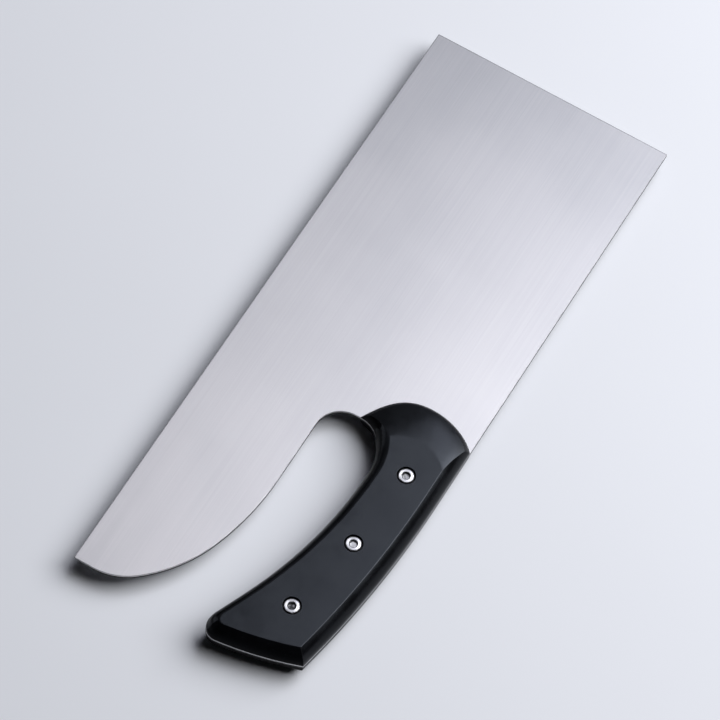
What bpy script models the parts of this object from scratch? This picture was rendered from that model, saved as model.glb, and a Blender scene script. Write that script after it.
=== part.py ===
"""Soba knife: one steel plate with a full tang, two shaped handle scales, cap screws and sleeve nuts.

Lengths are in metres and angles in degrees. The outline is drawn with X from the heel tip to the front
end, Y from the spine to the cutting edge and Z up out of the flat blade face. An empty then centres the
knife over the origin, with the lower scale's flat at Z = 0.
"""

import math

import bmesh
import bpy
from mathutils import Vector

# Blade plate
EDGE_LENGTH = 0.3007  # cutting edge, heel tip to front end
BLADE_WIDTH = 0.1125  # spine to cutting edge
BLADE_THICKNESS = 0.0020
BEVEL_WIDTH = 0.0100  # bevel ground on the lower face only
EDGE_LAND = 0.00015  # thickness left at the cutting edge

# Heel under the hand: a short straight and three arcs, the last one levelling off at the cut-out
HEEL_STRAIGHT = 0.0085  # upright run at the tip, before the arcs
HEEL_TIP_RADIUS = 0.0269
HEEL_TIP_TURN = 41.8
HEEL_MIDDLE_TURN = 30.2  # its radius takes up the rest of the heel's width
HEEL_NECK_RADIUS = 0.1279

# Finger cut-out and the neck of the tang beside it
CUTOUT_DEPTH = 0.1185  # heel tip to the inner end
NECK_WIDTH = 0.0306  # spine to cut-out where the tang is narrowest
CUTOUT_HEIGHT = 0.0302  # from there to the level edge of the heel
CUTOUT_END_RADIUS = 0.0121
CUTOUT_END_STRAIGHT = 0.0026  # upright run between the end round and the neck corner
NECK_CORNER_RADIUS = 0.0120
NECK_CORNER_TURN = 54.0  # then a wider arc takes up the rest of the cut-out's height

# Handle outline, shared by the tang and both scales
GRIP_RADIUS = 0.1965  # finger side, from the neck towards the butt
GRIP_TURN = 22.4
SPINE_STRAIGHT = 0.0983  # heel tip to where the spine side starts to curve
SPINE_RADIUS = 0.4630
BUTT_SETBACK = 0.0071  # heel tip to the corner of the butt and the spine side
BUTT_LEAN = 20.7  # angle of the butt to the width at that corner
BUTT_RADIUS = 0.1564
BUTT_CORNER_RADIUS = 0.0065  # rounded corner of the butt and the finger side

# Front end of the scales: a curve through three places, set out from the inner end of the cut-out
FRONT_REACH = 0.0190  # to the foremost point
FRONT_APEX_Y = 0.0220
FRONT_APEX_HANDLE = 0.0104
FRONT_NOSE_REACH = 0.0010
FRONT_NOSE_RISE = 0.0155  # from the neck of the tang to the nose
FRONT_NOSE_SLOPE = 25.8
FRONT_NOSE_HANDLE = 0.0154
FRONT_SPINE_REACH = 0.0103
FRONT_SPINE_Y = 0.0005
FRONT_SPINE_SLOPE = 40.7
FRONT_SPINE_HANDLE = 0.0040

# Section of the scales
SEAT_GAP = 0.0003  # between the tang and a scale, and under each fastener's head
SCALE_THICKNESS = 0.0072
SIDE_WALL = 0.0007  # upright wall next to the tang
CHAMFER_WIDTH = 0.0044  # chamfer on the spine side and the butt
CHAMFER_CROWN = 0.9  # how far the chamfer faces bulge: 0 is flat, 1 starts upright
GRIP_ROUND_REAR = 0.0041  # width of the soft round on the finger side, at the butt
GRIP_ROUND_FRONT = 0.0052  # and at the neck
FLAT_CORNER_RADIUS = 0.0028  # corner of the flat at the butt and the finger side
FRONT_WALL = 0.0044  # height of the leaning wall at the front end
FRONT_LEAN = 0.0029  # how far that wall leans in
FRONT_WALL_CROWN = 0.6  # how far that wall bulges: 0 is flat, 1 starts upright
BEVEL_CROWN = 0.7  # how far the long bevel above it bulges: 0 is flat, 1 ends level with the flat
FLAT_SETBACK = 0.0198  # foremost point of the scale to that of its flat
FLAT_FRONT_RADIUS = 0.0185
FLAT_FRONT_Y = 0.0188
FLAT_FRONT_SPAN = 80.0  # half angle of the arc, past the flat at both ends

# Cap screws from above and sleeve nuts from below, on shared axes
FASTENER_SPOTS = (
    ("rear", 0.0248, 0.0253),
    ("middle", 0.0626, 0.0184),
    ("front", 0.1013, 0.0158),
)
HEAD_RADIUS = 0.0035
HEAD_HEIGHT = 0.0040
HEAD_CHAMFER = 0.0003
HEAD_RECESS = 0.0002  # head face below the scale's flat
COUNTERBORE_CLEARANCE = 0.0005
FIT_CLEARANCE = 0.00025
SHANK_RADIUS = 0.0020
SHANK_CHAMFER = 0.0004
SLEEVE_RADIUS = 0.0028
SLEEVE_SHORTFALL = 0.0002  # sleeve end below the tang's upper face
THREAD_ENGAGEMENT = 0.0040
BORE_RUNOUT = 0.0008  # bore left past the end of the screw
HEX_ACROSS_FLATS = 0.0030
HEX_DEPTH = 0.0020
HEX_POINT = 0.0004  # drill point below the hexagon

# Facets
ROUND_STEPS = 32
ARC_STEPS = 12
WALL_LEVELS = 5
BEVEL_LEVELS = 10
FRONT_STEPS = 26
SPINE_STEPS = 4
SPINE_ARC_STEPS = 12
BUTT_STEPS = 5
CORNER_STEPS = 10
GRIP_STEPS = 14
NECK_STEPS = 12
OVERRUN = 0.02  # how far helper lines and cutters run past what they meet
MERGE_DISTANCE = 1e-6
SHARP_ANGLE = 25.0  # edges that turn more than this stay crisp

# Finishes: colour, roughness and metallic value
BLADE_FINISH = ((0.62, 0.62, 0.63, 1.0), 0.32, 1.0)
SCALE_FINISH = ((0.012, 0.012, 0.013, 1.0), 0.35, 0.0)
SCREW_FINISH = ((0.72, 0.72, 0.72, 1.0), 0.25, 1.0)
NUT_FINISH = ((0.72, 0.72, 0.72, 1.0), 0.30, 1.0)

TANG_LOW = SCALE_THICKNESS + SEAT_GAP
TANG_HIGH = TANG_LOW + BLADE_THICKNESS
SCALE_HIGH = TANG_HIGH + SEAT_GAP
CUTOUT_EDGE_Y = NECK_WIDTH + CUTOUT_HEIGHT
COUNTERBORE_DEPTH = HEAD_RECESS + HEAD_HEIGHT + SEAT_GAP


def clear_scene():
    for obj in list(bpy.data.objects):
        bpy.data.objects.remove(obj, do_unlink=True)


def make_material(name, finish):
    colour, roughness, metallic = finish
    material = bpy.data.materials.new(name)
    material.use_nodes = True
    shader = material.node_tree.nodes["Principled BSDF"]
    shader.inputs["Base Color"].default_value = colour
    shader.inputs["Roughness"].default_value = roughness
    shader.inputs["Metallic"].default_value = metallic
    material.diffuse_color = colour
    return material


def direction(heading):
    return Vector((math.cos(heading), math.sin(heading)))


def arc(start, heading, radius, turn, steps=ARC_STEPS):
    """Points of an arc after its start, and its end heading: a positive turn bends to the left."""
    side = math.copysign(radius, turn)
    centre = start + Vector((-math.sin(heading), math.cos(heading))) * side
    points = []
    for step in range(1, steps + 1):
        angle = heading + turn * step / steps
        points.append(centre + Vector((math.sin(angle), -math.cos(angle))) * side)
    return points, heading + turn


def bezier(start, start_handle, end_handle, end, steps):
    points = []
    for step in range(steps + 1):
        t = step / steps
        s = 1 - t
        near = start * s**3 + start_handle * (3 * s * s * t)
        far = end_handle * (3 * s * t * t) + end * t**3
        points.append(near + far)
    return points


def crossing(path, other):
    """Where path first meets other, as the number of segments passed along each."""
    for i in range(len(path) - 1):
        step = path[i + 1] - path[i]
        for j in range(len(other) - 1):
            run = other[j + 1] - other[j]
            area = step.cross(run)
            if area == 0:
                continue
            gap = other[j] - path[i]
            t = gap.cross(run) / area
            u = gap.cross(step) / area
            if 0 <= t <= 1 and 0 <= u <= 1:
                return i + t, j + u
    raise ValueError("two sides of the outline no longer meet")


def place(path, where):
    i = min(math.floor(where), len(path) - 2)
    return path[i].lerp(path[i + 1], where - i)


def stretch(path, start, end):
    """The part of a path between two places on it, given in segments passed."""
    inner = [path[i] for i in range(math.floor(start) + 1, math.ceil(end))]
    return [place(path, start)] + inner + [place(path, end)]


def spaced(path, count):
    """Points at count equal steps along the path, without its last point."""
    runs = [(b - a).length for a, b in zip(path, path[1:])]
    points = []
    for k in range(count):
        left = sum(runs) * k / count
        i = 0
        while left > runs[i] and i < len(runs) - 1:
            left -= runs[i]
            i += 1
        points.append(path[i].lerp(path[i + 1], left / runs[i]))
    return points


def inset(path, width):
    """The path moved to its right, into the handle, by a length or a function of the point."""
    last = len(path) - 1
    moved = []
    for i, point in enumerate(path):
        along = (path[min(i + 1, last)] - path[max(i - 1, 0)]).normalized()
        size = width(point) if callable(width) else width
        moved.append(point + Vector((along.y, -along.x)) * size)
    return moved


def without_start(path, length):
    """The path less its first length."""
    i = 0
    while (path[i + 1] - path[i]).length < length and i < len(path) - 2:
        length -= (path[i + 1] - path[i]).length
        i += 1
    start = path[i] + (path[i + 1] - path[i]).normalized() * length
    return [start] + path[i + 1 :]


def round_corner(before, after, radius):
    """Cuts back two paths that meet at a corner and gives them and the round that joins them."""
    turn = (before[-1] - before[-2]).angle(after[1] - after[0])
    back = radius * math.tan(turn / 2)
    before = without_start(before[::-1], back)[::-1]
    after = without_start(after, back)
    way_in = (before[-1] - before[-2]).normalized()
    way_out = (after[1] - after[0]).normalized()
    handle = radius * math.tan(way_in.angle(way_out) / 4) * 4 / 3
    handle_in = before[-1] + way_in * handle
    handle_out = after[0] - way_out * handle
    return before, bezier(before[-1], handle_in, handle_out, after[0], CORNER_STEPS), after


def heel_path():
    """From the heel tip along the heel's arcs to where the cut-out's edge runs level."""
    tip = math.radians(HEEL_TIP_TURN)
    middle = math.radians(HEEL_MIDDLE_TURN)
    neck = math.pi / 2 - tip - middle
    tip_height = HEEL_TIP_RADIUS * math.sin(tip)
    neck_height = HEEL_NECK_RADIUS * (1 - math.sin(tip + middle))
    middle_height = BLADE_WIDTH - CUTOUT_EDGE_Y - HEEL_STRAIGHT - tip_height - neck_height
    middle_radius = middle_height / (math.sin(tip + middle) - math.sin(tip))
    points = [Vector((0.0, BLADE_WIDTH)), Vector((0.0, BLADE_WIDTH - HEEL_STRAIGHT))]
    heading = -math.pi / 2
    for radius, turn in ((HEEL_TIP_RADIUS, tip), (middle_radius, middle), (HEEL_NECK_RADIUS, neck)):
        run, heading = arc(points[-1], heading, radius, turn)
        points += run
    return points


def cutout_end_path():
    """From the cut-out's level edge round its inner end to the neck of the tang."""
    corner_turn = math.radians(NECK_CORNER_TURN)
    corner_height = NECK_CORNER_RADIUS * math.sin(corner_turn)
    blend_height = CUTOUT_HEIGHT - CUTOUT_END_RADIUS - CUTOUT_END_STRAIGHT - corner_height
    blend_radius = blend_height / (1 - math.sin(corner_turn))
    start = Vector((CUTOUT_DEPTH - CUTOUT_END_RADIUS, CUTOUT_EDGE_Y))
    end_round, heading = arc(start, 0.0, CUTOUT_END_RADIUS, -math.pi / 2)
    corner_start = end_round[-1] - Vector((0.0, CUTOUT_END_STRAIGHT))
    corner, heading = arc(corner_start, heading, NECK_CORNER_RADIUS, -corner_turn)
    blend = arc(corner[-1], heading, blend_radius, corner_turn - math.pi / 2)[0]
    return [start] + end_round + [corner_start] + corner + blend


def neck_path():
    """From the neck of the tang forward to the middle of the cut-out's round end."""
    return cutout_end_path()[ARC_STEPS // 2 :][::-1]


def grip_path():
    """Finger side, from past the butt along a straight and an arc to the neck of the tang."""
    neck = cutout_end_path()[-1]
    run, heading = arc(neck, math.pi, GRIP_RADIUS, -math.radians(GRIP_TURN))
    past_butt = run[-1] + direction(heading) * EDGE_LENGTH
    return [past_butt] + run[::-1] + [neck]


def spine_path():
    """Spine side, from ahead of the scales back past the butt."""
    bend = Vector((SPINE_STRAIGHT, 0.0))
    run, heading = arc(bend, math.pi, SPINE_RADIUS, -(SPINE_STRAIGHT + OVERRUN) / SPINE_RADIUS)
    return [Vector((EDGE_LENGTH, 0.0)), bend] + run


def butt_path():
    """The butt, from outside the spine side to past the finger side."""
    fall = SPINE_RADIUS - math.sqrt(SPINE_RADIUS**2 - (SPINE_STRAIGHT - BUTT_SETBACK) ** 2)
    corner = Vector((BUTT_SETBACK, fall))
    heading = math.pi / 2 + math.radians(BUTT_LEAN)
    run = arc(corner, heading, BUTT_RADIUS, -(CUTOUT_EDGE_Y + OVERRUN) / BUTT_RADIUS)[0]
    return [corner - direction(heading) * OVERRUN, corner] + run


def front_path():
    """Front end of a scale at the tang, from past the cut-out over the foremost point to past the spine."""
    apex = Vector((CUTOUT_DEPTH + FRONT_REACH, FRONT_APEX_Y))
    nose = Vector((CUTOUT_DEPTH + FRONT_NOSE_REACH, NECK_WIDTH + FRONT_NOSE_RISE))
    nose_way = direction(-math.radians(FRONT_NOSE_SLOPE))
    end = Vector((CUTOUT_DEPTH + FRONT_SPINE_REACH, FRONT_SPINE_Y))
    end_way = direction(math.radians(FRONT_SPINE_SLOPE))
    handle = Vector((0.0, FRONT_APEX_HANDLE))
    nose_side = bezier(nose, nose + nose_way * FRONT_NOSE_HANDLE, apex + handle, apex, FRONT_STEPS)
    spine_side = bezier(apex, apex - handle, end + end_way * FRONT_SPINE_HANDLE, end, FRONT_STEPS)
    return [nose - nose_way * OVERRUN] + nose_side + spine_side[1:] + [end - end_way * OVERRUN]


def flat_front_path():
    """Front edge of a scale's flat, an arc whose ends run past the flat."""
    apex = Vector((CUTOUT_DEPTH + FRONT_REACH - FLAT_SETBACK, FLAT_FRONT_Y))
    span = math.radians(FLAT_FRONT_SPAN)
    start = apex + (direction(span) - Vector((1.0, 0.0))) * FLAT_FRONT_RADIUS
    return [start] + arc(start, span - math.pi / 2, FLAT_FRONT_RADIUS, -2 * span)[0]


def grip_round_width(point):
    """Width of the soft round at a point of the finger side."""
    share = (point.x - BUTT_SETBACK) / (CUTOUT_DEPTH - BUTT_SETBACK)
    return GRIP_ROUND_REAR + (GRIP_ROUND_FRONT - GRIP_ROUND_REAR) * min(max(share, 0), 1)


def handle_sides(chamfer, grip_round):
    """Spine, butt, corner, grip and neck of the handle, inset by these shares of their widths."""
    spine = inset(spine_path(), CHAMFER_WIDTH * chamfer)
    butt = inset(butt_path(), CHAMFER_WIDTH * chamfer)
    grip = inset(grip_path(), lambda point: grip_round_width(point) * grip_round)
    neck = inset(neck_path(), lambda point: grip_round_width(point) * grip_round)
    spine_end, butt_start = crossing(spine, butt)
    butt_end, grip_start = crossing(butt, grip)
    radius = BUTT_CORNER_RADIUS + (FLAT_CORNER_RADIUS - BUTT_CORNER_RADIUS) * (chamfer + grip_round) / 2
    spine = stretch(spine, 0, spine_end)
    butt = stretch(butt, butt_start, butt_end)
    grip = stretch(grip, grip_start, len(grip) - 1)
    butt, corner, grip = round_corner(butt, grip, radius)
    return spine, butt, corner, grip, neck


def front_at(height):
    """Front end of a scale at a height: up its leaning wall, then up the long bevel to the flat."""
    wall_rise = min(height / FRONT_WALL, 1)
    lean = wall_rise - FRONT_WALL_CROWN * wall_rise * (1 - wall_rise)
    base = spaced(inset(front_path(), FRONT_LEAN * lean), 2 * FRONT_STEPS)
    top = spaced(flat_front_path(), 2 * FRONT_STEPS)
    rise = min(max(height - FRONT_WALL, 0) / (SCALE_THICKNESS - FRONT_WALL), 1)
    root = math.sqrt((1 + BEVEL_CROWN) ** 2 - 4 * BEVEL_CROWN * rise)
    share = 2 * rise / (1 + BEVEL_CROWN + root)
    return [low.lerp(high, share) for low, high in zip(base, top)]


def scale_outline(height):
    """Outline of a scale at a height above its inner face."""
    rise = max(height - SIDE_WALL, 0) / (SCALE_THICKNESS - SIDE_WALL)
    chamfer = rise - CHAMFER_CROWN * rise * (1 - rise)
    grip_round = 1 - math.sqrt(max(1 - rise * rise, 0))
    spine, butt, corner, grip, neck = handle_sides(chamfer, grip_round)
    front = front_at(height)
    nose, neck_end = crossing(front, neck)
    front_end, spine_start = crossing(front[::-1], spine)
    front = stretch(front, nose, len(front) - 1 - front_end)
    neck = stretch(neck, 0, neck_end)
    straight = stretch(spine, spine_start, 1)
    spine_arc = spine[1:]
    points = spaced(front, FRONT_STEPS)
    points += spaced(straight, SPINE_STEPS)
    points += spaced(spine_arc, SPINE_ARC_STEPS)
    points += spaced(butt, BUTT_STEPS)
    points += corner[:-1]
    points += spaced(grip, GRIP_STEPS)
    points += spaced(neck, NECK_STEPS)
    return points


def scale_heights():
    """Heights of a scale's outlines: even up the front wall, then closer and closer towards the flat."""
    heights = [FRONT_WALL * level / WALL_LEVELS for level in range(WALL_LEVELS)]
    for level in range(BEVEL_LEVELS + 1):
        share = level / BEVEL_LEVELS
        rise = share + BEVEL_CROWN * share * (1 - share)
        heights.append(FRONT_WALL + (SCALE_THICKNESS - FRONT_WALL) * rise)
    nearest = min(range(1, WALL_LEVELS), key=lambda k: abs(heights[k] - SIDE_WALL))
    heights[nearest] = SIDE_WALL
    return heights


def scale_mesh(name, way):
    """A scale lofted through its outlines from its inner face at 0, upwards for 1, downwards for -1."""
    bm = bmesh.new()
    rings = []
    for height in scale_heights():
        rings.append([bm.verts.new((point.x, point.y, way * height)) for point in scale_outline(height)])
    for low, high in zip(rings, rings[1:]):
        for i in range(len(low)):
            bm.faces.new((low[i - 1], low[i], high[i], high[i - 1]))
    bm.faces.new(rings[0])
    bm.faces.new(rings[-1])
    return finished_mesh(bm, name)


def blade_outline():
    """Plan of the plate: heel, cut-out, tang and the square front end."""
    spine, butt, corner, grip = handle_sides(0, 0)[:4]
    front = [Vector((EDGE_LENGTH, 0.0)), Vector((EDGE_LENGTH, BLADE_WIDTH))]
    handle = grip[::-1] + corner[-2:0:-1] + butt[::-1] + spine[-2:0:-1]
    return heel_path() + cutout_end_path()[:-1] + handle + front


def blade_mesh():
    bm = bmesh.new()
    face = bm.faces.new([bm.verts.new((point.x, point.y, 0.0)) for point in blade_outline()])
    extruded = bmesh.ops.extrude_face_region(bm, geom=[face])["geom"]
    top = [item for item in extruded if isinstance(item, bmesh.types.BMVert)]
    bmesh.ops.translate(bm, verts=top, vec=(0.0, 0.0, BLADE_THICKNESS))
    return finished_mesh(bm, "blade")


def bevel_cutter_mesh():
    """Wedge that grinds the lower face down to the edge land, longer than the edge at both ends."""
    slope = (BLADE_THICKNESS - EDGE_LAND) / BEVEL_WIDTH
    inner = BLADE_WIDTH - BEVEL_WIDTH - OVERRUN
    outer = BLADE_WIDTH + OVERRUN
    low = -slope * OVERRUN
    high = BLADE_THICKNESS - EDGE_LAND + slope * OVERRUN
    bm = bmesh.new()
    corners = ((inner, low), (outer, high), (outer, low - OVERRUN), (inner, low - OVERRUN))
    face = bm.faces.new([bm.verts.new((-OVERRUN, y, z)) for y, z in corners])
    extruded = bmesh.ops.extrude_face_region(bm, geom=[face])["geom"]
    end = [item for item in extruded if isinstance(item, bmesh.types.BMVert)]
    bmesh.ops.translate(bm, verts=end, vec=(EDGE_LENGTH + 2 * OVERRUN, 0.0, 0.0))
    return finished_mesh(bm, "bevel_cutter")


def finished_mesh(bm, name):
    """Turns a bmesh into a mesh with its faces out, smooth except along its crisp edges."""
    bmesh.ops.recalc_face_normals(bm, faces=bm.faces)
    mesh = bpy.data.meshes.new(name)
    bm.to_mesh(mesh)
    bm.free()
    mesh.shade_smooth()
    mesh.set_sharp_from_angle(angle=math.radians(SHARP_ANGLE))
    return mesh


def turned_mesh(name, profile):
    """A solid turned about Z from a profile of (radius, height) points that starts and ends on the axis."""
    bm = bmesh.new()
    verts = [bm.verts.new((radius, 0.0, height)) for radius, height in profile]
    edges = [bm.edges.new(pair) for pair in zip(verts, verts[1:])]
    bmesh.ops.spin(
        bm,
        geom=verts + edges,
        cent=(0, 0, 0),
        axis=(0, 0, 1),
        angle=2 * math.pi,
        steps=ROUND_STEPS,
        use_merge=True,
    )
    bmesh.ops.remove_doubles(bm, verts=bm.verts, dist=MERGE_DISTANCE)
    return finished_mesh(bm, name)


def hex_cutter_mesh(way):
    """Hexagonal socket with a drill point: its mouth at 0, sunk against way, 1 for up and -1 for down."""
    bm = bmesh.new()
    radius = HEX_ACROSS_FLATS / 2 / math.cos(math.pi / 6)
    bmesh.ops.create_circle(bm, cap_ends=True, segments=6, radius=radius)
    floor = bmesh.ops.extrude_face_region(bm, geom=bm.faces[:])["geom"]
    floor_verts = [item for item in floor if isinstance(item, bmesh.types.BMVert)]
    floor_face = [item for item in floor if isinstance(item, bmesh.types.BMFace)]
    mouth = [vert for vert in bm.verts if vert not in floor_verts]
    bmesh.ops.translate(bm, verts=floor_verts, vec=(0.0, 0.0, -way * HEX_DEPTH))
    bmesh.ops.translate(bm, verts=mouth, vec=(0.0, 0.0, way * HEX_DEPTH))
    point = bmesh.ops.poke(bm, faces=floor_face)["verts"]
    bmesh.ops.translate(bm, verts=point, vec=(0.0, 0.0, -way * HEX_POINT))
    return finished_mesh(bm, "hex_cutter")


def screw_mesh():
    """Socket cap screw, its head's seat at 0 and its head upwards."""
    length = TANG_HIGH - SLEEVE_SHORTFALL - THREAD_ENGAGEMENT
    tip = length - (SCALE_HIGH + SCALE_THICKNESS - HEAD_RECESS - HEAD_HEIGHT)
    profile = (
        (0.0, tip),
        (SHANK_RADIUS - SHANK_CHAMFER, tip),
        (SHANK_RADIUS, tip + SHANK_CHAMFER),
        (SHANK_RADIUS, 0.0),
        (HEAD_RADIUS, 0.0),
        (HEAD_RADIUS, HEAD_HEIGHT - HEAD_CHAMFER),
        (HEAD_RADIUS - HEAD_CHAMFER, HEAD_HEIGHT),
        (0.0, HEAD_HEIGHT),
    )
    return with_socket(turned_mesh("cap_screw", profile), HEAD_HEIGHT, 1)


def nut_mesh():
    """Sleeve nut, its head's seat at 0 and its sleeve up through the lower scale and the tang."""
    seat = HEAD_RECESS + HEAD_HEIGHT
    sleeve_end = TANG_HIGH - SLEEVE_SHORTFALL - seat
    bore_end = sleeve_end - THREAD_ENGAGEMENT - BORE_RUNOUT
    bore_radius = SHANK_RADIUS + FIT_CLEARANCE
    profile = (
        (0.0, -HEAD_HEIGHT),
        (HEAD_RADIUS - HEAD_CHAMFER, -HEAD_HEIGHT),
        (HEAD_RADIUS, HEAD_CHAMFER - HEAD_HEIGHT),
        (HEAD_RADIUS, 0.0),
        (SLEEVE_RADIUS, 0.0),
        (SLEEVE_RADIUS, sleeve_end),
        (bore_radius, sleeve_end),
        (bore_radius, bore_end),
        (0.0, bore_end),
    )
    return with_socket(turned_mesh("sleeve_nut", profile), -HEAD_HEIGHT, -1)


def with_socket(mesh, face_height, way):
    """The mesh with a hexagonal socket cut into the head's face."""
    body = add_object(mesh.name, mesh, None, None, (0, 0, 0))
    cutter = add_cutter("hex_cutter", hex_cutter_mesh(way), None, (0, 0, face_height))
    cut(body, cutter)
    bpy.context.view_layer.update()
    graph = bpy.context.evaluated_depsgraph_get()
    cut_mesh = bpy.data.meshes.new_from_object(body.evaluated_get(graph))
    cut_mesh.name = mesh.name
    bpy.data.objects.remove(body, do_unlink=True)
    bpy.data.objects.remove(cutter, do_unlink=True)
    return cut_mesh


def counterbore_mesh(way, hole_radius):
    """Cutter for a head and what passes on from it, its mouth at the flat, sunk against way."""
    bore = HEAD_RADIUS + COUNTERBORE_CLEARANCE
    deep = SCALE_THICKNESS + OVERRUN
    profile = [(0.0, OVERRUN), (bore, OVERRUN), (bore, -COUNTERBORE_DEPTH)]
    profile += [(hole_radius, -COUNTERBORE_DEPTH), (hole_radius, -deep), (0.0, -deep)]
    return turned_mesh("counterbore_cutter", [(radius, way * height) for radius, height in profile])


def hole_mesh(radius):
    """Cutter for a plain hole through the tang."""
    half = BLADE_THICKNESS / 2 + OVERRUN
    return turned_mesh("hole_cutter", ((0.0, half), (radius, half), (radius, -half), (0.0, -half)))


def add_object(name, mesh, material, parent, location):
    obj = bpy.data.objects.new(name, mesh)
    bpy.context.scene.collection.objects.link(obj)
    obj.location = location
    obj.parent = parent
    if material:
        mesh.materials.clear()
        mesh.materials.append(material)
    return obj


def add_cutter(name, mesh, parent, location):
    cutter = add_object(name, mesh, None, parent, location)
    cutter.hide_render = True
    cutter.display_type = "WIRE"
    return cutter


def cut(obj, cutter):
    modifier = obj.modifiers.new(cutter.name, "BOOLEAN")
    modifier.operation = "DIFFERENCE"
    modifier.object = cutter


def add_blade(knife):
    steel = make_material("brushed_blade_steel", BLADE_FINISH)
    blade = add_object("blade", blade_mesh(), steel, knife, (0, 0, TANG_LOW))
    cut(blade, add_cutter("bevel_cutter", bevel_cutter_mesh(), knife, (0, 0, TANG_LOW)))
    hole = hole_mesh(SLEEVE_RADIUS + FIT_CLEARANCE)
    for spot, x, y in FASTENER_SPOTS:
        middle = (x, y, TANG_LOW + BLADE_THICKNESS / 2)
        cut(blade, add_cutter("tang_hole_" + spot, hole, knife, middle))


def add_scale(knife, name, way, inner_face, hole_radius, material):
    scale = add_object(name, scale_mesh(name, way), material, knife, (0, 0, inner_face))
    bore = counterbore_mesh(way, hole_radius)
    for spot, x, y in FASTENER_SPOTS:
        mouth = (x, y, inner_face + way * SCALE_THICKNESS)
        cut(scale, add_cutter(name + "_bore_" + spot, bore, knife, mouth))


def add_fasteners(knife):
    screw = screw_mesh()
    nut = nut_mesh()
    screw_steel = make_material("screw_steel", SCREW_FINISH)
    nut_steel = make_material("nut_steel", NUT_FINISH)
    top = SCALE_HIGH + SCALE_THICKNESS
    for spot, x, y in FASTENER_SPOTS:
        add_object("screw_" + spot, screw, screw_steel, knife, (x, y, top - HEAD_RECESS - HEAD_HEIGHT))
        add_object("nut_" + spot, nut, nut_steel, knife, (x, y, HEAD_RECESS + HEAD_HEIGHT))


def build_knife():
    clear_scene()
    knife = bpy.data.objects.new("knife", None)
    bpy.context.scene.collection.objects.link(knife)
    outline = blade_outline()
    rearmost = min(point.x for point in outline)
    knife.location = (-(EDGE_LENGTH + rearmost) / 2, -BLADE_WIDTH / 2, 0.0)
    add_blade(knife)
    upper_black = make_material("upper_scale_black", SCALE_FINISH)
    lower_black = make_material("lower_scale_black", SCALE_FINISH)
    shank_hole = SHANK_RADIUS + FIT_CLEARANCE
    sleeve_hole = SLEEVE_RADIUS + FIT_CLEARANCE
    add_scale(knife, "upper_scale", 1, SCALE_HIGH, shank_hole, upper_black)
    add_scale(knife, "lower_scale", -1, SCALE_THICKNESS, sleeve_hole, lower_black)
    add_fasteners(knife)


build_knife()
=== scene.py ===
import math
import bmesh
import bpy
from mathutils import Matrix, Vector


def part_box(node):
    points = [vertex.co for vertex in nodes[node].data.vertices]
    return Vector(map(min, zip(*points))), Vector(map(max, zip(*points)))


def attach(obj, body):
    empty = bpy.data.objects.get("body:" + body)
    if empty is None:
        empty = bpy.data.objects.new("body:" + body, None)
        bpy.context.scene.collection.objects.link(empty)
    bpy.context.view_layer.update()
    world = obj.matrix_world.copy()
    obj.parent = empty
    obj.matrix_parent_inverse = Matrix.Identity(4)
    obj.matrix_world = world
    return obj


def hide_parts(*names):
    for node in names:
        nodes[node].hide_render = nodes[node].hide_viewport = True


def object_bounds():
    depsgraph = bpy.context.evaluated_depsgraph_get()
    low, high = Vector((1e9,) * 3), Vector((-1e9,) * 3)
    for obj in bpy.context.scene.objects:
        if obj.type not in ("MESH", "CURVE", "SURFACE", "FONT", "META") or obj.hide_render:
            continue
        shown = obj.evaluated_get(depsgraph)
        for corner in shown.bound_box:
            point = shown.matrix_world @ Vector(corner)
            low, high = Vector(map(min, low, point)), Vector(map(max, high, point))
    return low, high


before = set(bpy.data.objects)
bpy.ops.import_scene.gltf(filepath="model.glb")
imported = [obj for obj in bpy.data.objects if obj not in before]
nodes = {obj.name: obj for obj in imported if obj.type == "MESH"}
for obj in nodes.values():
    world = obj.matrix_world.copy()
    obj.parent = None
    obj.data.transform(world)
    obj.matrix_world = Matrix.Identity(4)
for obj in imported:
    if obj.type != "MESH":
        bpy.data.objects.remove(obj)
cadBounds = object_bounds()
print("frame loaded:", len(nodes), "nodes")


# general helpers

def deselectAll():
    if bpy.context.mode != "OBJECT":
        bpy.ops.object.mode_set(mode="OBJECT")
    for item in bpy.context.selected_objects:
        item.select_set(False)


def pick(piece):
    deselectAll()
    piece.select_set(True)
    bpy.context.view_layer.objects.active = piece


def aimFrom(aim, azimuth, elevation, distance):
    flat = math.cos(math.radians(elevation)) * distance
    east = flat * math.cos(math.radians(azimuth))
    north = flat * math.sin(math.radians(azimuth))
    return Vector(aim) + Vector((east, north, math.sin(math.radians(elevation)) * distance))


# camera, softboxes and world

cameraSpec = {
    "place": (-1.01061, -0.39554, 1.87918),  # metres, over the heel and the spine side
    "turn": (29.67138, -4.72923, -60.03963),  # degrees about X, Y and Z
    "lens": 260.0,
    "sensor": 36.0,
    "nearest": 0.05,
    "farthest": 30.0,
}


def makeCamera(spec):
    deselectAll()
    bpy.ops.object.camera_add(location=spec["place"], rotation=[math.radians(a) for a in spec["turn"]])
    camera = bpy.context.object
    camera.name = "studioCamera"
    camera.data.lens = spec["lens"]
    camera.data.sensor_width = spec["sensor"]
    camera.data.clip_start = spec["nearest"]
    camera.data.clip_end = spec["farthest"]
    bpy.context.scene.camera = camera


softboxAim = (-0.02, 0.0, 0.0)
softboxSpecs = {
    "keySoftbox": {
        "azimuth": -47.0,  # degrees from +X, towards the spine side
        "elevation": 50.0,
        "distance": 1.50,
        "width": 1.35,
        "height": 1.35,
        "power": 31.4,
        "colour": (0.965, 0.97, 1.0),
    },
    "fillSoftbox": {
        "azimuth": -3.0,
        "elevation": 56.0,
        "distance": 1.70,
        "width": 0.60,
        "height": 1.30,
        "power": 5.4,
        "colour": (0.86, 0.875, 1.0),
    },
}


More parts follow.
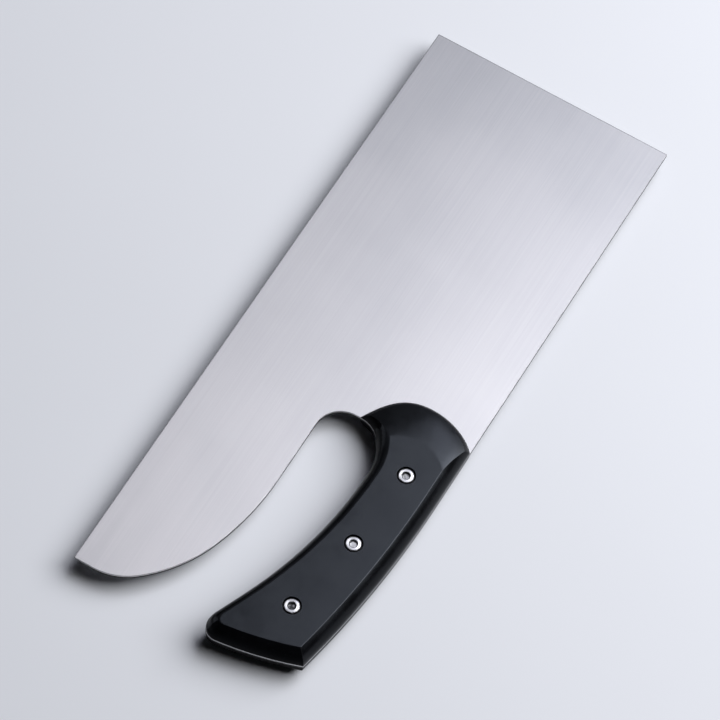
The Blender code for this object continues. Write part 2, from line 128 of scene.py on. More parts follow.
def makeSoftbox(name, aim, spec):
    place = aimFrom(aim, spec["azimuth"], spec["elevation"], spec["distance"])
    deselectAll()
    bpy.ops.object.light_add(type="AREA", location=place)
    lamp = bpy.context.object
    lamp.name = name
    lamp.rotation_euler = (place - Vector(aim)).to_track_quat("Z", "Y").to_euler()
    lamp.data.shape = "RECTANGLE"
    lamp.data.size = spec["width"]
    lamp.data.size_y = spec["height"]
    lamp.data.energy = spec["power"]
    lamp.data.color = spec["colour"]


worldSpec = {
    "domeStrength": 0.008,
    "domeColour": (0.93, 0.96, 1.0, 1.0),
    "backdropStrength": 0.10,
    "backdropColour": (0.93, 0.95, 1.0, 1.0),
}


def makeWorld(spec):
    # a faint dome lights the object, and the camera and the reflections see a backdrop instead of it
    world = bpy.data.worlds.new("studioWorld")
    world.use_nodes = True
    tree = world.node_tree
    tree.nodes.clear()
    out = tree.nodes.new("ShaderNodeOutputWorld")
    mix = tree.nodes.new("ShaderNodeMixShader")
    dome = tree.nodes.new("ShaderNodeBackground")
    backdrop = tree.nodes.new("ShaderNodeBackground")
    path = tree.nodes.new("ShaderNodeLightPath")
    dome.inputs["Color"].default_value = spec["domeColour"]
    dome.inputs["Strength"].default_value = spec["domeStrength"]
    backdrop.inputs["Color"].default_value = spec["backdropColour"]
    backdrop.inputs["Strength"].default_value = spec["backdropStrength"]
    seen = mathNode(tree, "ADD", path.outputs["Is Camera Ray"], path.outputs["Is Glossy Ray"])
    seen = mathNode(tree, "ADD", seen, path.outputs["Is Transmission Ray"], clamp=True)
    tree.links.new(seen, mix.inputs["Fac"])
    tree.links.new(dome.outputs["Background"], mix.inputs[1])
    tree.links.new(backdrop.outputs["Background"], mix.inputs[2])
    tree.links.new(mix.outputs["Shader"], out.inputs["Surface"])
    bpy.context.scene.world = world


# shader helpers and shared effects

def newMaterial(name):
    material = bpy.data.materials.new(name)
    material.use_nodes = True
    tree = material.node_tree
    tree.nodes.clear()
    out = tree.nodes.new("ShaderNodeOutputMaterial")
    shader = tree.nodes.new("ShaderNodeBsdfPrincipled")
    tree.links.new(shader.outputs["BSDF"], out.inputs["Surface"])
    return material, shader


def newGroup(name, inputs, outputs):
    group = bpy.data.node_groups.new(name, "ShaderNodeTree")
    for label, kind, value in inputs:
        socket = group.interface.new_socket(label, in_out="INPUT", socket_type=kind)
        if value is not None:
            socket.default_value = value
    for label, kind in outputs:
        group.interface.new_socket(label, in_out="OUTPUT", socket_type=kind)
    return group, group.nodes.new("NodeGroupInput"), group.nodes.new("NodeGroupOutput")


def mathNode(tree, operation, first, second, clamp=False):
    node = tree.nodes.new("ShaderNodeMath")
    node.operation = operation
    node.use_clamp = clamp
    for socket, value in zip(node.inputs, (first, second)):
        if isinstance(value, (int, float)):
            socket.default_value = value
        else:
            tree.links.new(value, socket)
    return node.outputs[0]


def noiseNode(tree, vector, scale, detail, roughness=0.5):
    node = tree.nodes.new("ShaderNodeTexNoise")
    node.inputs["Scale"].default_value = scale
    node.inputs["Detail"].default_value = detail
    node.inputs["Roughness"].default_value = roughness
    tree.links.new(vector, node.inputs["Vector"])
    return node.outputs["Fac"]


def mapRange(tree, value, fromLow, fromHigh, toLow, toHigh, smooth=True):
    node = tree.nodes.new("ShaderNodeMapRange")
    node.interpolation_type = "SMOOTHSTEP" if smooth else "LINEAR"
    node.inputs["From Min"].default_value = fromLow
    node.inputs["From Max"].default_value = fromHigh
    node.inputs["To Min"].default_value = toLow
    node.inputs["To Max"].default_value = toHigh
    tree.links.new(value, node.inputs["Value"])
    return node.outputs["Result"]


def mixColour(tree, factor, first, second):
    # input 0 is the factor, inputs 6 and 7 are the colours, and output 2 is the mixed colour
    node = tree.nodes.new("ShaderNodeMix")
    node.data_type = "RGBA"
    for socket, value in ((node.inputs[0], factor), (node.inputs[6], first), (node.inputs[7], second)):
        if isinstance(value, (int, float, tuple)):
            socket.default_value = value
        else:
            tree.links.new(value, socket)
    return node.outputs[2]


def addGroup(tree, group, values):
    node = tree.nodes.new("ShaderNodeGroup")
    node.node_tree = group
    for label, value in values.items():
        if isinstance(value, (int, float)):
            node.inputs[label].default_value = value
        else:
            tree.links.new(value, node.inputs[label])
    return node


def addRimWearAndPaintedLight(tree, vector, spec):
    values = {
        "Vector": vector,
        "Edge": meshValue(tree, "edge"),
        "Scale": spec["edgeScale"],
        "Amount": spec["edgeAmount"],
    }
    return addGroup(tree, rimWearAndPaintedLight, values).outputs["Mask"]


def addRoughness(tree, shader, noise, spec):
    # the roughness spreads about its middle value with the noise
    low = spec["roughness"] - spec["roughnessSpread"] / 2
    high = low + spec["roughnessSpread"]
    rough = mapRange(tree, noise, effectSpec["noiseLow"], effectSpec["noiseHigh"], low, high)
    tree.links.new(rough, shader.inputs["Roughness"])


def addBump(tree, shader, height, strength, distance):
    bump = tree.nodes.new("ShaderNodeBump")
    bump.inputs["Strength"].default_value = strength
    bump.inputs["Distance"].default_value = distance
    tree.links.new(height, bump.inputs["Height"])
    tree.links.new(bump.outputs["Normal"], shader.inputs["Normal"])


def meshValue(tree, name):
    node = tree.nodes.new("ShaderNodeAttribute")
    node.attribute_name = name
    return node.outputs["Fac"]


def turnedCoordinates(tree, turn=0.0):
    coordinates = tree.nodes.new("ShaderNodeTexCoord")
    mapping = tree.nodes.new("ShaderNodeMapping")
    mapping.vector_type = "TEXTURE"
    mapping.inputs["Rotation"].default_value = (0.0, 0.0, math.radians(turn))
    tree.links.new(coordinates.outputs["Object"], mapping.inputs["Vector"])
    return mapping.outputs["Vector"]


def scaleVector(group, gin, label):
    # the group's vector times the input of that label
    node = group.nodes.new("ShaderNodeVectorMath")
    node.operation = "SCALE"
    group.links.new(gin.outputs["Vector"], node.inputs[0])
    group.links.new(gin.outputs[label], node.inputs["Scale"])
    return node.outputs[0]


effectSpec = {
    "grindLayers": ((28.0, 5200.0, 2.0), (9.0, 1500.0, 3.0), (3.0, 260.0, 3.0)),  # along, across, detail
    "grindRoughness": 0.6,
    "noiseLow": 0.3,  # most of a noise's values lie between these two
    "noiseHigh": 0.7,
    "smudgeScale": 3.7,  # times the scale of the clouds
    "smudgeDetail": 5.0,
    "smudgeRoughness": 0.62,
    "smudgeFrom": 0.48,
    "smudgeTo": 0.72,
    "rimPatchFrom": 0.35,
    "rimPatchTo": 0.65,
    "rimPatchLeast": 0.35,  # share of the edge mask that is left where it is thinnest
}


def buildGrindGroup():
    # fine grinding lines that run along the X of the vector given
    group, gin, gout = newGroup(
        "grindLines",
        [("Vector", "NodeSocketVector", None), ("Fineness", "NodeSocketFloat", 1.0)],
        [("Fine", "NodeSocketFloat"), ("Coarse", "NodeSocketFloat")],
    )
    scaled = scaleVector(group, gin, "Fineness")
    layers = []
    for lengthwise, crosswise, detail in effectSpec["grindLayers"]:
        mapping = group.nodes.new("ShaderNodeMapping")
        mapping.inputs["Scale"].default_value = (lengthwise, crosswise, crosswise)
        group.links.new(scaled, mapping.inputs["Vector"])
        layers.append(noiseNode(group, mapping.outputs["Vector"], 1.0, detail, effectSpec["grindRoughness"]))
    fine, middle, broad = layers
    for label, first, second in (("Fine", fine, middle), ("Coarse", middle, broad)):
        mean = mathNode(group, "MULTIPLY", mathNode(group, "ADD", first, second), 0.5)
        group.links.new(mean, gout.inputs[label])
    return group


def buildMottleGroup():
    # slow cloudy changes of tone, such as handling leaves
    group, gin, gout = newGroup(
        "softMottle",
        [("Vector", "NodeSocketVector", None), ("Scale", "NodeSocketFloat", 20.0)],
        [("Cloud", "NodeSocketFloat"), ("Smudge", "NodeSocketFloat")],
    )
    scaled = scaleVector(group, gin, "Scale")
    spec = effectSpec
    cloud = noiseNode(group, scaled, 1.0, 3.0)
    cloud = mapRange(group, cloud, spec["noiseLow"], spec["noiseHigh"], 0.0, 1.0)
    group.links.new(cloud, gout.inputs["Cloud"])
    smudge = noiseNode(group, scaled, spec["smudgeScale"], spec["smudgeDetail"], spec["smudgeRoughness"])
    smudge = mapRange(group, smudge, spec["smudgeFrom"], spec["smudgeTo"], 0.0, 1.0)
    group.links.new(smudge, gout.inputs["Smudge"])
    return group


def buildEdgeGroup():
    # a broken mask along the rounded edges, which the mesh marks in its edge attribute; it paints wear,
    # partly a painted glint, on the scales, painted shade on the blade rims, the fastener rims and the
    # socket walls, and darkens the socket floors
    group, gin, gout = newGroup(
        "rimWearAndPaintedLight",
        [
            ("Vector", "NodeSocketVector", None),
            ("Edge", "NodeSocketFloat", 0.0),
            ("Scale", "NodeSocketFloat", 300.0),
            ("Amount", "NodeSocketFloat", 0.5),
        ],
        [("Mask", "NodeSocketFloat")],
    )
    scaled = scaleVector(group, gin, "Scale")
    spec = effectSpec
    patches = noiseNode(group, scaled, 1.0, 3.0, 0.6)
    patches = mapRange(group, patches, spec["rimPatchFrom"], spec["rimPatchTo"], spec["rimPatchLeast"], 1.0)
    worn = mathNode(group, "MULTIPLY", patches, gin.outputs["Edge"])
    worn = mathNode(group, "MULTIPLY", worn, gin.outputs["Amount"], clamp=True)
    group.links.new(worn, gout.inputs["Mask"])
    return group


grindLines = buildGrindGroup()
softMottle = buildMottleGroup()
rimWearAndPaintedLight = buildEdgeGroup()
print("shared effects built")


# blade steel

steelSpec = {
    "light": (0.464, 0.451, 0.458, 1.0),
    "dark": (0.256, 0.261, 0.275, 1.0),
    # dark colour of the marked rims and of the edge strip: painted shade
    "edge": (0.09, 0.09, 0.095, 1.0),
    "edgeScale": 260.0,
    "edgeAmount": 0.8,
    "roughness": 0.36,
    "roughnessSpread": 0.035,
    "anisotropy": 0.55,
    "lineLow": 0.32,  # where the line noise is darkest, and as far above the middle it is lightest
    "lineTone": 0.125,
    "mottleScale": 16.0,
    "mottleTone": 0.13,
    "paintedLightFalloff": 0.25,  # painted light: the heel is painted brighter and the front end darker than the middle, by this share each way, for the lamps' falloff along the blade
    "heelReach": 0.14,
    "lineTurn": 0.0,  # degrees from the length of the blade to the grinding lines
    "fineness": 1.0,
    "bump": 0.06,
    "bumpDistance": 0.00002,
    # colour of the painted shade on the lower part of the walls
    "paintedShade": (0.03, 0.03, 0.032, 1.0),
    "shadeBelow": -1.0,  # painted shade below this height; it lies below the blade, so none of it here
    "shadeFade": 0.0003,
    "edgeShadeWidth": 0.00045,  # painted shade: a dark strip along the cutting edge and the front end
    "edgeShadeTone": 0.75,
}
bevelSteelSpec = dict(steelSpec, roughness=0.24, lineTurn=90.0, fineness=1.3)
# the walls are painted darker below the height given: painted shade under their upper edge
wallSteelSpec = dict(
    steelSpec,
    light=(0.62, 0.62, 0.625, 1.0),
    dark=(0.36, 0.36, 0.362, 1.0),
    edge=(0.46, 0.46, 0.465, 1.0),
    roughness=0.46,
    shadeBelow=0.0089,
)


def addAnisotropy(tree, shader, amount):
    # the grain map's U runs across the blade and outward on a head, so the highlight spreads that way
    shader.inputs["Anisotropic"].default_value = amount
    tangent = tree.nodes.new("ShaderNodeTangent")
    tangent.direction_type = "UV_MAP"
    tangent.uv_map = "grain"
    tree.links.new(tangent.outputs["Tangent"], shader.inputs["Tangent"])


def steelTone(tree, spec, lines, clouds, lengthwise):
    # from 0 to 1: lines, slow clouds, and painted light that falls off from the heel to the front end
    half = spec["lineTone"] / 2
    fine = lines.outputs["Fine"]
    tone = mapRange(tree, fine, spec["lineLow"], 1 - spec["lineLow"], 0.5 - half, 0.5 + half)
    cloud = mathNode(tree, "SUBTRACT", clouds.outputs["Cloud"], 0.5)
    tone = mathNode(tree, "ADD", tone, mathNode(tree, "MULTIPLY", cloud, spec["mottleTone"]))
    reach = spec["heelReach"]
    # painted light: brighter towards the heel, darker towards the front end
    falloffShade = mapRange(tree, lengthwise, -reach, reach, spec["paintedLightFalloff"], -spec["paintedLightFalloff"], smooth=False)
    return mathNode(tree, "ADD", tone, falloffShade, clamp=True)


def makeSteel(name, spec):
    material, shader = newMaterial(name)
    tree = material.node_tree
    along = turnedCoordinates(tree, spec["lineTurn"])
    lines = addGroup(tree, grindLines, {"Vector": along, "Fineness": spec["fineness"]})
    clouds = addGroup(tree, softMottle, {"Vector": along, "Scale": spec["mottleScale"]})
    rimMask = addRimWearAndPaintedLight(tree, along, spec)
    axes = tree.nodes.new("ShaderNodeSeparateXYZ")
    tree.links.new(turnedCoordinates(tree), axes.inputs["Vector"])
    tone = steelTone(tree, spec, lines, clouds, axes.outputs["X"])
    body = mixColour(tree, tone, spec["dark"], spec["light"])
    body = mixColour(tree, rimMask, body, spec["edge"])
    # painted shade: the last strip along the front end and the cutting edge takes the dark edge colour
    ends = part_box("blade")[1]
    width = spec["edgeShadeWidth"]
    front = mapRange(tree, axes.outputs["X"], ends.x - width, ends.x - width / 2, 0.0, spec["edgeShadeTone"])
    keen = mapRange(tree, axes.outputs["Y"], ends.y - width, ends.y - width / 2, 0.0, spec["edgeShadeTone"])
    body = mixColour(tree, mathNode(tree, "MAXIMUM", front, keen), body, spec["edge"])
    # painted shade: darker below the height given
    shadeStart = spec["shadeBelow"] - spec["shadeFade"]
    unshadedShare = mapRange(tree, axes.outputs["Z"], shadeStart, spec["shadeBelow"], 0.0, 1.0)
    tree.links.new(mixColour(tree, unshadedShare, spec["paintedShade"], body), shader.inputs["Base Color"])
    addRoughness(tree, shader, lines.outputs["Coarse"], spec)
    shader.inputs["Metallic"].default_value = 1.0
    addAnisotropy(tree, shader, spec["anisotropy"])
    addBump(tree, shader, lines.outputs["Fine"], spec["bump"], spec["bumpDistance"])
    return material


# black scales

scaleFinishSpec = {
    "dark": (0.0014, 0.0015, 0.0019, 1.0),
    "light": (0.0028, 0.0030, 0.0038, 1.0),
    # lighter colour on the rounded crisp edges: wear, and partly a painted glint
    "edge": (0.012, 0.012, 0.014, 1.0),
    "edgeScale": 420.0,
    "edgeAmount": 0.35,
    "roughness": 0.24,
    "roughnessSpread": 0.05,
    "mottleScale": 90.0,
    "grainScale": 2600.0,
    "bump": 0.12,
    "bumpDistance": 0.00003,
    "specular": 0.41,
    "sheen": (0.82, 0.90, 1.0, 1.0),
    "polish": -0.04,  # added to the roughness where hands have rubbed the surface
    "sideRoughness": 0.12,  # added where the surface stands steep, which is less polished
}
sideFinishSpec = dict(scaleFinishSpec, specular=0.16, roughness=0.28)
endFinishSpec = dict(scaleFinishSpec, specular=0.03, roughness=0.30)


def makeScaleBlack(name, spec):
    material, shader = newMaterial(name)
    tree = material.node_tree
    along = turnedCoordinates(tree)
    clouds = addGroup(tree, softMottle, {"Vector": along, "Scale": spec["mottleScale"]})
    rimMask = addRimWearAndPaintedLight(tree, along, spec)
    grain = noiseNode(tree, along, spec["grainScale"], 3.0, 0.6)
    body = mixColour(tree, clouds.outputs["Cloud"], spec["dark"], spec["light"])
    tree.links.new(mixColour(tree, rimMask, body, spec["edge"]), shader.inputs["Base Color"])
    low = spec["roughness"] - spec["roughnessSpread"] / 2
    base = mapRange(tree, clouds.outputs["Cloud"], 0.0, 1.0, low, low + spec["roughnessSpread"])
    polish = mathNode(tree, "MULTIPLY", clouds.outputs["Smudge"], spec["polish"])
    rough = mathNode(tree, "ADD", base, polish)
    sides = mathNode(tree, "MULTIPLY", meshValue(tree, "steep"), spec["sideRoughness"])
    tree.links.new(mathNode(tree, "ADD", rough, sides, clamp=True), shader.inputs["Roughness"])
    shader.inputs["Specular IOR Level"].default_value = spec["specular"]
    shader.inputs["Specular Tint"].default_value = spec["sheen"]
    addBump(tree, shader, grain, spec["bump"], spec["bumpDistance"])
    return material


# screws and nuts

fastenerFinishSpec = {
    "light": (0.74, 0.74, 0.75, 1.0),
    "dark": (0.56, 0.56, 0.57, 1.0),
    # dark edge colour: painted shade on the rims and socket walls, and the darkening of the socket floors
    "edge": (0.06, 0.06, 0.062, 1.0),
    "edgeScale": 900.0,
    "edgeAmount": 2.0,
    "roughness": 0.30,
    "roughnessSpread": 0.08,
    "anisotropy": 0.70,
    "ringScale": 9000.0,
    "ringShare": 0.6,  # of the tone, the rest is cloudy
    "mottleScale": 500.0,
    "bump": 0.15,
    "bumpDistance": 0.00001,
}
nutFinishSpec = dict(fastenerFinishSpec, roughness=0.34)


def makeFastenerSteel(name, spec):
    # turned lines are rings about each piece's own axis, which the mesh holds in its radius attribute
    material, shader = newMaterial(name)
    tree = material.node_tree
    along = turnedCoordinates(tree)
    rings = tree.nodes.new("ShaderNodeTexNoise")
    rings.noise_dimensions = "1D"
    rings.inputs["Detail"].default_value = 2.0
    rings.inputs["Scale"].default_value = spec["ringScale"]
    tree.links.new(meshValue(tree, "radius"), rings.inputs["W"])
    clouds = addGroup(tree, softMottle, {"Vector": along, "Scale": spec["mottleScale"]})
    rimMask = addRimWearAndPaintedLight(tree, along, spec)
    ringTone = mathNode(tree, "MULTIPLY", rings.outputs["Fac"], spec["ringShare"])
    cloudTone = mathNode(tree, "MULTIPLY", clouds.outputs["Cloud"], 1 - spec["ringShare"])
    body = mixColour(tree, mathNode(tree, "ADD", ringTone, cloudTone), spec["dark"], spec["light"])
    tree.links.new(mixColour(tree, rimMask, body, spec["edge"]), shader.inputs["Base Color"])
    addRoughness(tree, shader, rings.outputs["Fac"], spec)
    shader.inputs["Metallic"].default_value = 1.0
    addAnisotropy(tree, shader, spec["anisotropy"])
    addBump(tree, shader, rings.outputs["Fac"], spec["bump"], spec["bumpDistance"])
    return material


# floor and cards

floorSpec = {
    "size": 14.0,
    "drop": 0.00008,  # below the lowest flat, so that the two never share a plane
    "colour": (0.755, 0.77, 0.80, 1.0),
    "mottle": 0.012,
    "mottleScale": 5.0,
    "grainScale": 900.0,
    "grainBump": 0.02,
    "grainDistance": 0.0001,
    "roughness": 0.62,
}


def makeFloor(spec):
    deselectAll()
    level = cadBounds[0][2] - spec["drop"]
    bpy.ops.mesh.primitive_plane_add(size=spec["size"], location=(0.0, 0.0, level))
    floor = bpy.context.object
    floor.name = "studioFloor"
    material, shader = newMaterial("palePaper")
    tree = material.node_tree
    along = turnedCoordinates(tree)
    clouds = addGroup(tree, softMottle, {"Vector": along, "Scale": spec["mottleScale"]})
    dimmer = tuple(c * (1 - spec["mottle"]) for c in spec["colour"][:3]) + (1.0,)
    tone = mixColour(tree, clouds.outputs["Cloud"], dimmer, spec["colour"])
    tree.links.new(tone, shader.inputs["Base Color"])
    shader.inputs["Roughness"].default_value = spec["roughness"]
    shader.inputs["Specular IOR Level"].default_value = 0.0
    grain = noiseNode(tree, along, spec["grainScale"], 3.0)
    addBump(tree, shader, grain, spec["grainBump"], spec["grainDistance"])
    floor.data.materials.append(material)


cardSpec = {
    "radius": 1.6,
    "height": 1.2,
    "sides": 72,
    "dipHeight": 0.25,  # of the cards that face the front end
    "dipMiddle": 12.0,  # degrees from +X
    "dipTurn": 34.0,  # degrees each way from there
    "darkColour": (0.02, 0.02, 0.022, 1.0),
    "paleColour": (0.78, 0.79, 0.80, 1.0),
    "roughness": 0.9,
    "paleBearings": ((85.0, 150.0), (-170.0, -98.0)),
    "ceilingRadius": 0.45,
    "ceilingHeight": 1.80,
    "ceilingSides": 48,
}


def makeCardMaterial(name, colour, roughness):
    material, shader = newMaterial(name)
    shader.inputs["Base Color"].default_value = colour
    shader.inputs["Roughness"].default_value = roughness
    return material


def stageCard(card):
    # only glossy surfaces show the cards, by mirroring them
    card.visible_camera = False
    card.visible_diffuse = False


def bearingOf(place):
    return math.degrees(math.atan2(place.y, place.x))


def makeCardRing(spec):
    # a ring of dark cards with two pale stretches, cut low where the front end faces it
    deselectAll()
    bpy.ops.mesh.primitive_cylinder_add(
        vertices=spec["sides"],
        radius=spec["radius"],
        depth=spec["height"],
        end_fill_type="NOTHING",
        location=(0.0, 0.0, spec["height"] / 2),
    )
    ring = bpy.context.object
    ring.name = "studioFlags"
    for vert in ring.data.vertices:
        if vert.co.z > 0 and abs(bearingOf(vert.co) - spec["dipMiddle"]) < spec["dipTurn"]:
            vert.co.z = spec["dipHeight"] - spec["height"] / 2
    ring.data.materials.append(makeCardMaterial("darkCard", spec["darkColour"], spec["roughness"]))
    ring.data.materials.append(makeCardMaterial("paleCard", spec["paleColour"], spec["roughness"]))
    for face in ring.data.polygons:
        if any(low < bearingOf(face.center) < high for low, high in spec["paleBearings"]):
            face.material_index = 1
    stageCard(ring)


def makeCeiling(spec):
    deselectAll()
    bpy.ops.mesh.primitive_circle_add(
        vertices=spec["ceilingSides"],
        radius=spec["ceilingRadius"],
        fill_type="NGON",
        location=(0.0, 0.0, spec["ceilingHeight"]),
    )
    ceiling = bpy.context.object
    ceiling.name = "studioCeiling"
    ceiling.data.materials.append(makeCardMaterial("ceilingCard", spec["paleColour"], spec["roughness"]))
    stageCard(ceiling)


makeCamera(cameraSpec)
makeFloor(floorSpec)
makeCardRing(cardSpec)
makeCeiling(cardSpec)
for name, spec in softboxSpecs.items():
    makeSoftbox(name, softboxAim, spec)
makeWorld(worldSpec)
bpy.context.scene.view_settings.view_transform = "Standard"
print("stage set")


# shaping helpers

meshSpec = {
    "merge": 0.000002,
    "quadTurn": 25.0,  # triangles that turn less than this become one face
    "quadSkew": 60.0,
    "flatTurn": 0.05,
    "level": 0.000001,  # heights closer than this are the same
    "endTilt": 0.9,  # a flat end's normal rises or falls more than this
    "slimness": 0.0006,  # a rounded rim's faces are narrower than this, in metres
}


def copyOfNode(name, node):
    deselectAll()
    piece = bpy.data.objects.new(name, nodes[node].data.copy())
    piece.data.name = name
    piece.data.materials.clear()
    bpy.context.scene.collection.objects.link(piece)
    pick(piece)
    bpy.ops.object.mode_set(mode="EDIT")
    bpy.ops.mesh.select_all(action="SELECT")
    bpy.ops.mesh.remove_doubles(threshold=meshSpec["merge"])
    bpy.ops.mesh.tris_convert_to_quads(
        face_threshold=math.radians(meshSpec["quadTurn"]),
        shape_threshold=math.radians(meshSpec["quadSkew"]),
    )
    bpy.ops.mesh.dissolve_limited(angle_limit=math.radians(meshSpec["flatTurn"]))
    bpy.ops.object.mode_set(mode="OBJECT")
    if piece.data.has_custom_normals:
        bpy.ops.mesh.customdata_custom_splitnormals_clear()
    return piece


def chooseEdges(piece, test):
    # enters edit mode with the edges selected that pass the test
    pick(piece)
    bpy.ops.object.mode_set(mode="EDIT")
    bpy.context.tool_settings.mesh_select_mode = (False, True, False)
    bm = bmesh.from_edit_mesh(piece.data)
    for item in list(bm.faces) + list(bm.edges) + list(bm.verts):
        item.select = False
    chosen = 0
    for edge in bm.edges:
        if len(edge.link_faces) == 2 and test(edge):
            edge.select_set(True)
            chosen += 1
    bmesh.update_edit_mesh(piece.data)
    return chosen


def chooseFaces(piece, test):
    # enters edit mode with the faces selected that pass the test
    pick(piece)
    bpy.ops.object.mode_set(mode="EDIT")
    bpy.context.tool_settings.mesh_select_mode = (False, False, True)
    bm = bmesh.from_edit_mesh(piece.data)
    for face in bm.faces:
        face.select_set(test(face))
    bmesh.update_edit_mesh(piece.data)


def chooseEnd(piece, way):
    # the flat end that faces up where way is 1, and down where it is -1
    chooseFaces(piece, lambda face: face.normal.z * way > meshSpec["endTilt"])


def markEdgeFaces(piece):
    # notes the slim selected faces as rounded edge in the mesh, for the edge colour: wear on the scales,
    # painted shade on the blade and the fasteners
    bpy.ops.object.mode_set(mode="OBJECT")
    mesh = piece.data
    attribute = mesh.attributes.get("edge") or mesh.attributes.new("edge", "FLOAT", "FACE")
    for face in mesh.polygons:
        corners = [mesh.vertices[index].co for index in face.vertices]
        longest = max((one - other).length for one, other in zip(corners, corners[1:] + corners[:1]))
        if face.select and face.area < longest * meshSpec["slimness"]:
            attribute.data[face.index].value = 1.0


def smoothShade(piece, angle):
    pick(piece)
    bpy.ops.object.shade_smooth_by_angle(angle=math.radians(angle))
    weighted = piece.modifiers.new("weighted", "WEIGHTED_NORMAL")
    weighted.mode = "FACE_AREA"
    weighted.keep_sharp = True
    bpy.ops.object.modifier_apply(modifier=weighted.name)


def addGrainMap(piece):
    layer = piece.data.uv_layers.new(name="grain")
    for loop in piece.data.loops:
        place = piece.data.vertices[loop.vertex_index].co
        layer.data[loop.index].uv = (place.y + place.z, place.x)


# blade

bladeSpec = {
    "rim": 0.0002,
    "rimSegments": 2,
    "keen": 0.0003,  # the rim is left sharp this near the cutting edge
    "sharp": 30.0,
    "smooth": 18.0,
    "wallTilt": 0.3,  # a wall's normal rises or falls less than this
    "bevelTilt": 0.1,  # the ground bevel's normal leans at least this far towards the edge
    "bevelArea": 0.00001,
}


def makeBlade(spec, steel, bevelSteel, wallSteel):
    piece = copyOfNode("bladePlate", "blade")
    low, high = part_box("blade")
    edgeLine = high.y - spec["keen"]

    def onRim(edge):
        ends = [vert.co for vert in edge.verts]
        if min(end.y for end in ends) > edgeLine:
            return False
        level = abs(ends[0].z - ends[1].z) < meshSpec["level"]
        outer = ends[0].z > high.z - meshSpec["level"] or ends[0].z < low.z + meshSpec["level"]
        return level and outer and edge.calc_face_angle() > math.radians(spec["sharp"])

    print("blade rim edges:", chooseEdges(piece, onRim))
    bpy.ops.mesh.bevel(offset=spec["rim"], segments=spec["rimSegments"], profile=0.5, clamp_overlap=True)
    # the rim faces take the dark edge colour: painted shade along the rims
    markEdgeFaces(piece)
    for material in (steel, bevelSteel, wallSteel):
        piece.data.materials.append(material)
    for face in piece.data.polygons:
        if abs(face.normal.z) < spec["wallTilt"]:
            face.material_index = 2
        elif face.normal.z < 0 and face.normal.y > spec["bevelTilt"] and face.area > spec["bevelArea"]:
            face.material_index = 1
    addGrainMap(piece)
    smoothShade(piece, spec["smooth"])
    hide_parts("blade")
    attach(piece, "root")


# handle scales

scaleSpec = {
    "crisp": 0.00010,
    "crispSegments": 3,
    "mouth": 0.00008,
    "mouthSegments": 2,
    "mouthReach": 0.0045,
    "mouthHeight": 0.007,  # the counterbores open at least this far from the tang
    "seatEdge": 0.0002,  # edges this near the tang stay as they are
    "steepFrom": 0.60,  # height of the surface normal where a side begins to be rougher
    "steepTo": 0.40,
    "sideFrom": 0.72,  # the sides and the butt have their own duller finish
    "endFrom": 0.95,
    "sharp": 22.0,
    "smooth": 30.0,
    "bondLine": 0.00003,  # what is left open between scale and tang
}


def makeScale(name, node, spec, black, sideBlack, endBlack):
    piece = copyOfNode(name, node)
    low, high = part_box(node)
    tangLow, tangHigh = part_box("blade")
    upper = low.z > tangHigh.z
    inner = low.z if upper else high.z
    seat = tangHigh.z + spec["bondLine"] if upper else tangLow.z - spec["bondLine"]

    screws = [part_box(screw) for screw in ("screw_rear", "screw_middle", "screw_front")]
    holes = [(corner + opposite) / 2 for corner, opposite in screws]

    def byHole(edge):
        spot = edge.verts[0].co
        return any(math.hypot(spot.x - hole.x, spot.y - hole.y) < spec["mouthReach"] for hole in holes)

    def fromTang(edge):
        return min(abs(vert.co.z - inner) for vert in edge.verts)

    def turned(edge):
        return fromTang(edge) > spec["seatEdge"] and edge.calc_face_angle() > math.radians(spec["sharp"])

    def crisp(edge):
        return turned(edge) and not byHole(edge)

    def mouth(edge):
        return turned(edge) and byHole(edge) and fromTang(edge) > spec["mouthHeight"]

    print(name, "crisp edges:", chooseEdges(piece, crisp))
    bpy.ops.mesh.bevel(
        offset=spec["crisp"], segments=spec["crispSegments"], profile=0.5, clamp_overlap=True
    )
    markEdgeFaces(piece)
    print(name, "mouth edges:", chooseEdges(piece, mouth))
    bpy.ops.mesh.bevel(
        offset=spec["mouth"], segments=spec["mouthSegments"], profile=0.5, clamp_overlap=True
    )
    bpy.ops.object.mode_set(mode="OBJECT")
    steep = piece.data.attributes.new("steep", "FLOAT", "POINT")
    for vert in piece.data.vertices:
        share = (spec["steepFrom"] - abs(vert.normal.z)) / (spec["steepFrom"] - spec["steepTo"])
        steep.data[vert.index].value = min(1.0, max(0.0, share))
        if abs(vert.co.z - inner) < meshSpec["level"]:
            vert.co.z = seat
    for material in (black, sideBlack, endBlack):
        piece.data.materials.append(material)
    for face in piece.data.polygons:
        if face.normal.x < -abs(face.normal.y) and abs(face.normal.z) < spec["endFrom"]:
            face.material_index = 2
        elif abs(face.normal.z) < spec["sideFrom"]:
            face.material_index = 1
    smoothShade(piece, spec["smooth"])
    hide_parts(node)
    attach(piece, "root")


bladeSteel = makeSteel("brushedBladeSteel", steelSpec)
bevelSteel = makeSteel("groundBevelSteel", bevelSteelSpec)
wallSteel = makeSteel("groundWallSteel", wallSteelSpec)
makeBlade(bladeSpec, bladeSteel, bevelSteel, wallSteel)
print("blade done")

scaleBlack = makeScaleBlack("satinBlackLaminate", scaleFinishSpec)
sideBlack = makeScaleBlack("sawnBlackLaminate", sideFinishSpec)
endBlack = makeScaleBlack("endBlackLaminate", endFinishSpec)
for name, node in (("upperScale", "upper_scale"), ("lowerScale", "lower_scale")):
    makeScale(name, node, scaleSpec, scaleBlack, sideBlack, endBlack)
print("scales done")


# screws and nuts: one of each modelled, then copied to the other two places

